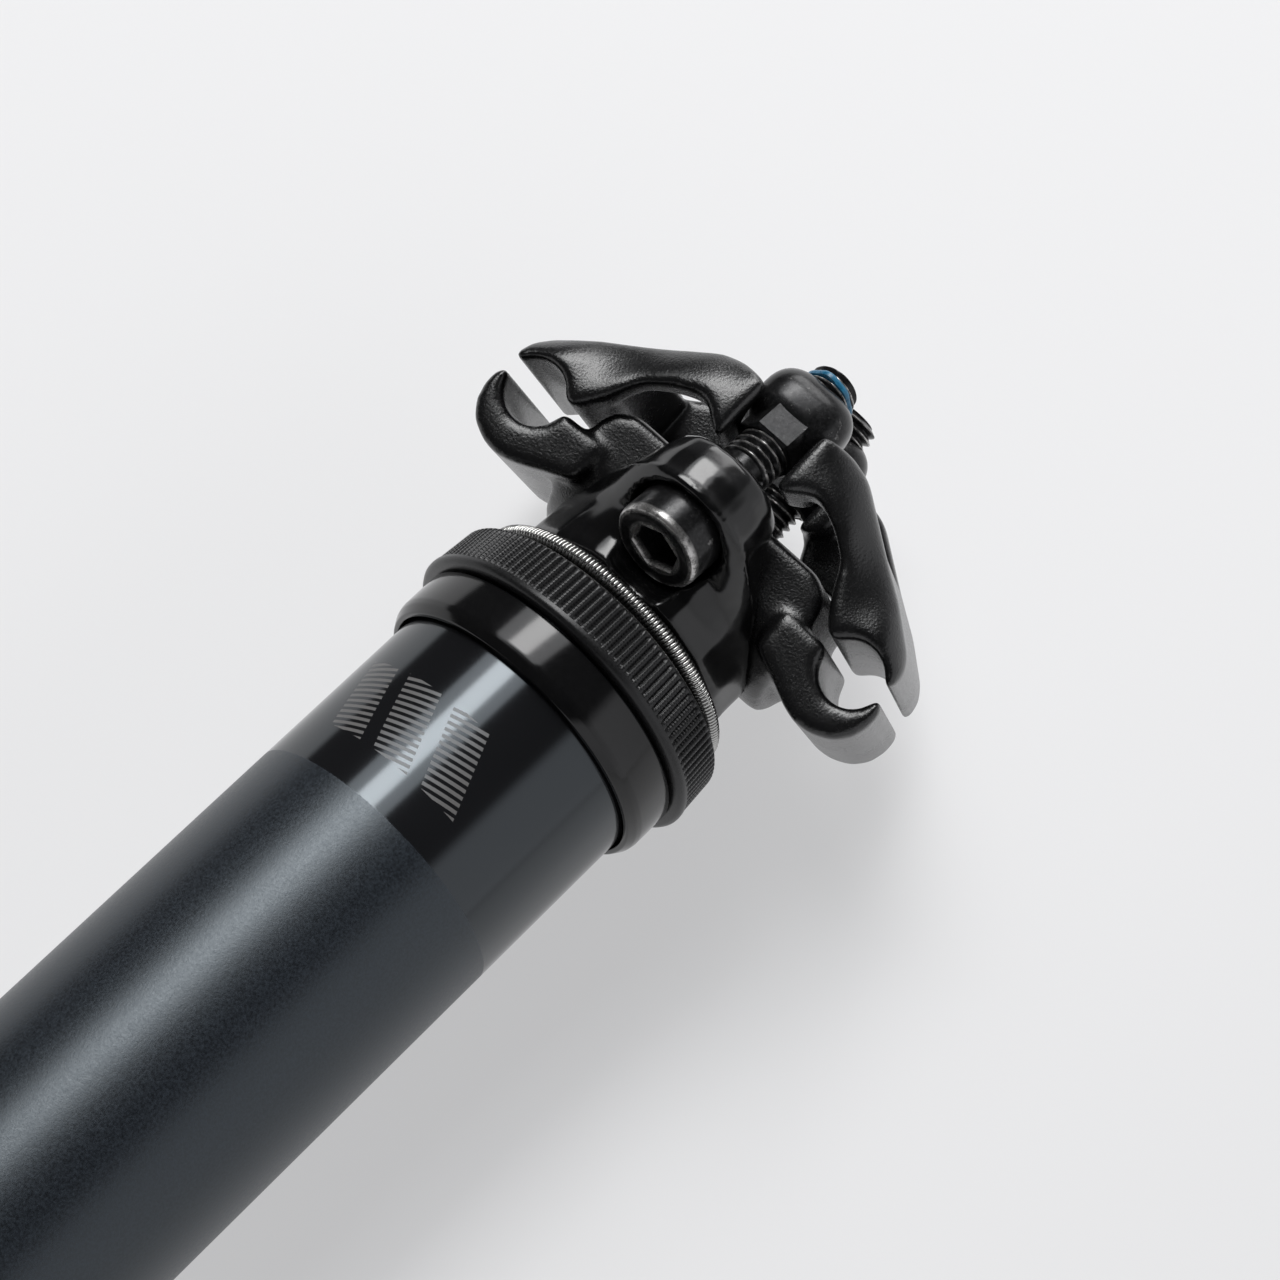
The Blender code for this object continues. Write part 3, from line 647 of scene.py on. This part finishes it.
# A forging's mesh size and growth in millimetres, and how many rounds of smoothing it gets.
CLAMP_VOXEL, CLAMP_SWELL, CRADLE_ROUNDS, ARM_ROUNDS = 0.32, 0.15, 45, 50
HEAD_VOXEL, HEAD_ROUNDS = 0.34, 16
satin = forged_material()
cradle = forged("lower_cradle", "lower_cradle_forging", CLAMP_VOXEL, CRADLE_ROUNDS, CLAMP_SWELL)
dress(cradle, "saddle_clamp", satin, "forged_black", "lower_cradle")
for node in ("upper_clamp_left", "upper_clamp_right"):
    arm = forged_arm(node, node + "_forging", CLAMP_VOXEL, ARM_ROUNDS, CLAMP_SWELL)
    dress(arm, "saddle_clamp", satin, "forged_black", node)

# ---------------------------------------------------------------- bolts and nuts
BOLT_R, SHANK_R, HEAD_R, PITCH, THREAD_DEPTH = 3.0, 2.65, 5.0, 1.0, 0.56


def thread_profile(length, start):
    """Head, plain shank and thread, from the tip down; heights are above the head's rim."""
    heights = np.arange(length - 0.05, start, -0.1)
    profile = [(0.0, length), (2.0, length)]
    profile += [(BOLT_R, z) for z in heights]
    profile += [(SHANK_R, start - 0.25), (SHANK_R, 5.75), (2.8, 5.55)]
    profile += [(4.6, 5.5), (4.85, 5.42), (HEAD_R, 5.2)]
    profile += [(HEAD_R, 0.75), (4.93, 0.38), (4.72, 0.12), (4.4, 0.0), (3.3, 0.0), (0.0, 0.0)]
    return profile


def thread_for(length, start):
    def thread(radius, z, angles):
        if z < start or radius[0] < 2.9:
            return radius
        phase = (z / PITCH - angles / TAU) % 1.0
        tooth = np.clip(np.abs(phase - 0.5) * 2.0 * 1.25 - 0.12, 0.0, 1.0)
        taper = min(1.0, (length - z) / 0.8)
        deep = min(1.0, (z - start + 0.4) / 0.8)
        return radius - THREAD_DEPTH * tooth * deep - 0.5 * (1.0 - taper)

    return thread


def cut(obj, cutter, operation="DIFFERENCE"):
    modifier = obj.modifiers.new("cut", "BOOLEAN")
    modifier.operation = operation
    modifier.solver = "EXACT"
    modifier.object = cutter
    bpy.context.view_layer.update()
    mesh = bpy.data.meshes.new_from_object(obj.evaluated_get(bpy.context.evaluated_depsgraph_get()))
    obj.modifiers.clear()
    old = obj.data
    obj.data = mesh
    bpy.data.meshes.remove(old)
    bpy.data.objects.remove(cutter)
    mesh.materials.clear()
    soften(mesh, 30)


def hex_socket(matrix, across=5.0, depth=3.2):
    """A hexagonal cutter with a chamfered mouth."""
    corner = across / 2 / math.cos(math.pi / 6)
    turns = [TAU * (k + 0.5) / 6 for k in range(6)]
    rings = [(-1.0, corner * 1.10), (0.0, corner * 1.06), (0.35, corner), (depth, corner)]
    points = [(r * math.cos(a) * MM, r * math.sin(a) * MM, z * MM) for z, r in rings for a in turns]
    faces = [tuple(reversed(range(6)))]
    for i in range(len(rings) - 1):
        for j in range(6):
            k = (j + 1) % 6
            faces.append((i * 6 + j, i * 6 + k, (i + 1) * 6 + k, (i + 1) * 6 + j))
    faces.append(tuple(range((len(rings) - 1) * 6, len(rings) * 6)))
    mesh = bpy.data.meshes.new("hex_socket")
    mesh.from_pydata(points, [], faces)
    return link("hex_socket", mesh, matrix)


# The centre of each bolt head's rim and of the barrel nut that the bolt screws into, in metres.
FRONT_RIM, FRONT_NUT = Vector((0.0, -0.0175, 0.03875)), Vector((0.0, -0.0141, 0.062))
REAR_RIM, REAR_NUT = Vector((0.0, 0.0175, 0.03875)), Vector((0.0, 0.00883, 0.07117))
NECK_CORNER, NECK_LENGTH, NUT_R, NUT_HALF = 3.85, 6.3, 4.3, 5.3
BLUNT = 0.72  # 1 makes the barrel's ends elliptical, and less makes them squarer


def prism(name, outline, levels, matrix):
    """A straight-sided solid of the outline, which each level (height, size) may shrink."""
    count = len(outline)
    points = [(x * size * MM, y * size * MM, z * MM) for z, size in levels for x, y in outline]
    faces = [tuple(reversed(range(count)))]
    for i in range(len(levels) - 1):
        for j in range(count):
            k = (j + 1) % count
            faces.append((i * count + j, i * count + k, (i + 1) * count + k, (i + 1) * count + j))
    faces.append(tuple(range((len(levels) - 1) * count, len(levels) * count)))
    mesh = bpy.data.meshes.new(name)
    mesh.from_pydata(points, [], faces)
    mesh.transform(matrix)
    return link(name, mesh)


def drill(name, radius, low, high, matrix):
    """A round cutter along a bolt's axis."""
    profile = [(0.0, high), (radius, high), (radius, low), (0.0, low)]
    return surface(name, profile, 64, None, matrix, closed=False)


def barrel_nut(name, matrix, nut_z):
    """A domed barrel across the bolt, with a flat-sided neck round the thread below it."""
    quarter = np.linspace(0.0, math.pi / 2, 16)
    dome = [(NUT_R * math.sin(t) ** BLUNT, NUT_HALF * math.cos(t) ** BLUNT) for t in quarter[:-1]]
    dome[0] = (0.0, NUT_HALF)
    dome.append((NUT_R, 0.0))
    outline = dome + [(r, -height) for r, height in reversed(dome[:-1])]
    across = matrix @ Matrix.Translation((0.0, 0.0, nut_z * MM)) @ Matrix.Rotation(math.pi / 2, 4, "Y")
    nut = surface(name, outline, 96, None, across, closed=False)
    turns = [TAU * k / 6 for k in range(6)]
    section = [(NECK_CORNER * math.cos(a), NECK_CORNER * math.sin(a)) for a in turns]
    levels = [(nut_z - NECK_LENGTH, 0.9), (nut_z - NECK_LENGTH + 0.35, 1.0), (nut_z, 1.0)]
    cut(nut, prism(name + "_neck", section, levels, matrix), "UNION")
    cut(nut, drill(name + "_bore", BOLT_R + 0.12, nut_z - 10.0, nut_z + 8.0, matrix))
    return nut


nut_steel = oxide_material("nut_black_oxide")
# Each bolt's side, rim, nut centre, length under its rim and start of thread.
BOLTS = (("front", FRONT_RIM, FRONT_NUT, 29.66, 14.2), ("rear", REAR_RIM, REAR_NUT, 40.0, 24.0))
WELL_R, WELL_TOP, HOLE_R = 5.45, 7.35, 3.7
head = forged("seatpost_head", "seatpost_head_forging", HEAD_VOXEL, HEAD_ROUNDS)
for name, rim, nut_at, length, start in BOLTS:
    matrix = frame_at(rim, nut_at - rim)
    nut_z = (nut_at - rim).length / MM
    profile, thread = thread_profile(length, start), thread_for(length, start)
    bolt = surface(f"{name}_bolt_threaded", profile, 64, thread, matrix, closed=False)
    cut(bolt, hex_socket(matrix))
    dress(bolt, f"{name}_bolt", oxide_material(f"{name}_bolt_oxide", matrix), "black_steel", f"{name}_bolt")
    nut = barrel_nut(f"{name}_barrel_nut_domed", matrix, nut_z)
    dress(nut, f"{name}_nut", nut_steel, "black_steel", f"{name}_barrel_nut")
    cut(head, drill(f"{name}_well", WELL_R, -12.0, WELL_TOP, matrix))
    cut(head, drill(f"{name}_hole", HOLE_R, 2.0, 30.0, matrix))
dress(head, "inner_post", head_material(), "gloss_anodised", "seatpost_head")

threadlock, _, _ = plain_finish(
    "threadlock_blue", (0.006, 0.06, 0.13), (0.02, 0.17, 0.29), 0.0, (0.2, 0.4), 0.5, 0.05
)


def ragged(radius, z, angles):
    """Dried thread compound squeezed out unevenly round the bolt."""
    swell = 0.12 * np.sin(3 * angles + 0.6) + 0.08 * np.sin(7 * angles + 2.0)
    return radius + swell * (radius > 3.0)


lock_matrix = frame_at(FRONT_RIM, FRONT_NUT - FRONT_RIM)
lock = surface(
    "threadlock_ring",
    [(2.72, 28.2), (3.06, 28.15), (3.16, 27.95), (3.16, 27.75), (3.06, 27.55), (2.72, 27.5)],
    64,
    ragged,
    lock_matrix,
)
dress(lock, "front_nut", threadlock, "rubber")

# ---------------------------------------------------------------- carried-over CAD nodes
brass, _, _ = plain_finish(
    "machined_brass", (0.55, 0.36, 0.12), (0.72, 0.50, 0.20), 1.0, (0.22, 0.36), 0.4, 0.01
)
polymer, _, _ = plain_finish(
    "bearing_polymer", (0.05, 0.05, 0.055), (0.09, 0.09, 0.095), 0.0, (0.4, 0.55), 0.3, 0.01
)
aluminium, _, _ = plain_finish(
    "machined_aluminium", (0.48, 0.49, 0.50), (0.62, 0.63, 0.64), 1.0, (0.25, 0.4), 0.3, 0.008
)
by_slot = {
    "bright_steel": steel,
    "brass": brass,
    "rubber": rubber,
    "polymer": polymer,
    "bare_aluminium": aluminium,
    "black_steel": nut_steel,
    "gloss_anodised": gloss_turned,
    "forged_black": satin,
    "matte_anodised": gloss_turned,
}
slots = {part["node"]: part["material_slot"] for part in frame["record"]["subparts"]}
for name, obj in nodes.items():
    obj.data.materials.clear()
    obj.data.materials.append(by_slot[slots[name]])

# ---------------------------------------------------------------- table, light and camera
TABLE_Y = 0.027


def backdrop():
    mesh = bpy.data.meshes.new("table")
    size = 3.0
    corners = [(-size, TABLE_Y, -size), (size, TABLE_Y, -size), (size, TABLE_Y, size), (-size, TABLE_Y, size)]
    mesh.from_pydata(corners, [], [(0, 1, 2, 3)])
    obj = link("table", mesh)
    material, tree, shader = new_material("pale_table")
    vector, _ = coordinates(tree)
    cloud = noise(tree, vector, 0.004, 3.0, 0.5)
    colour = mix_colours(tree, cloud, (0.350, 0.350, 0.354), (0.365, 0.365, 0.369))
    tree.links.new(colour, shader.inputs["Base Color"])
    tree.links.new(colour, shader.inputs["Emission Color"])
    shader.inputs["Emission Strength"].default_value = 1.28
    shader.inputs["Roughness"].default_value = 0.75
    shader.inputs["Specular IOR Level"].default_value = 0.2
    behind = tree.nodes.new("ShaderNodeNewGeometry")
    clear = tree.nodes.new("ShaderNodeBsdfTransparent")
    mixer = tree.nodes.new("ShaderNodeMixShader")
    output = tree.nodes["Material Output"]
    tree.links.new(behind.outputs["Backfacing"], mixer.inputs[0])
    tree.links.new(shader.outputs[0], mixer.inputs[1])
    tree.links.new(clear.outputs[0], mixer.inputs[2])
    tree.links.new(mixer.outputs[0], output.inputs["Surface"])
    obj.data.materials.append(material)


backdrop()

TARGET = Vector((0.0, 0.0, 0.040))


def area(name, azimuth, elevation, distance, width, height, power, colour=(1.0, 1.0, 1.0)):
    """A rectangular lamp facing the head of the post. Azimuth 0 is the bicycle's front, 90 is +X."""
    a, e = math.radians(azimuth), math.radians(elevation)
    away = Vector((math.sin(a) * math.cos(e), -math.cos(a) * math.cos(e), math.sin(e)))
    data = bpy.data.lights.new(name, "AREA")
    data.shape = "RECTANGLE"
    data.size, data.size_y = width, height
    data.energy = power
    data.color = colour
    obj = bpy.data.objects.new(name, data)
    obj.location = TARGET + away * distance
    obj.rotation_mode = "QUATERNION"
    obj.rotation_quaternion = (-away).to_track_quat("-Z", "Y")
    scene.collection.objects.link(obj)


area("key_core", -27.0, 20.0, 0.90, 0.24, 0.75, 4.6, (1.0, 0.995, 0.985))
area("key_skirt", -27.0, 20.0, 0.92, 0.60, 0.95, 4.6, (0.97, 0.985, 1.0))
area("top_panel", -40.0, 62.0, 1.0, 0.6, 0.4, 3.0)


def studio_world():
    """A dark room with a dim card to its right, a pale side behind the table and a little top light."""
    world = bpy.data.worlds.new("studio")
    scene.world = world
    world.use_nodes = True
    tree = world.node_tree
    background = tree.nodes["Background"]
    direction = tree.nodes.new("ShaderNodeTexCoord").outputs["Generated"]
    split = tree.nodes.new("ShaderNodeSeparateXYZ")
    tree.links.new(direction, split.inputs[0])
    x, y, z = split.outputs
    azimuth = math_node(tree, "ARCTAN2", x, math_node(tree, "MULTIPLY", y, -1.0))
    right = math_node(
        tree,
        "MULTIPLY",
        ramp(tree, azimuth, math.radians(38.0), math.radians(46.0)),
        ramp(tree, azimuth, math.radians(150.0), math.radians(110.0)),
    )
    behind = ramp(tree, math_node(tree, "ABSOLUTE", azimuth), math.radians(90.0), math.radians(112.0))
    side = math_node(tree, "MAXIMUM", math_node(tree, "MULTIPLY", right, 0.72), behind)
    above = math_node(tree, "MULTIPLY", ramp(tree, z, 0.55, 0.95), 0.30)
    level = math_node(tree, "ADD", math_node(tree, "MAXIMUM", side, above), 0.045)
    cloud = ramp(tree, noise(tree, direction, 1.6, 1.0, 0.4), 0.3, 0.7, 0.85, 1.15)
    uneven = math_node(tree, "MULTIPLY", level, cloud)
    tree.links.new(uneven, background.inputs["Strength"])
    background.inputs["Color"].default_value = (0.97, 0.975, 1.0, 1.0)


studio_world()
scene.view_settings.view_transform = "Standard"

# The camera's right, up and back axes and its place, at the viewing angle wanted.
CAMERA_RIGHT = Vector((0.73059, -0.13180, 0.66997))
CAMERA_UP = Vector((-0.66017, -0.38691, 0.64379))
CAMERA_BACK = Vector((0.17437, -0.91265, -0.36968))
CAMERA_AT = Vector((0.0646004, -0.3259574, -0.0944975))
camera_data = bpy.data.cameras.new("camera")
camera_data.sensor_width = 36.0
camera_data.lens = 96.774
camera_data.clip_start = 0.01
camera_data.clip_end = 20.0
camera = bpy.data.objects.new("camera", camera_data)
axes = Matrix((CAMERA_RIGHT, CAMERA_UP, CAMERA_BACK)).transposed().to_4x4()
camera.matrix_world = Matrix.Translation(CAMERA_AT) @ axes
scene.collection.objects.link(camera)
scene.camera = camera
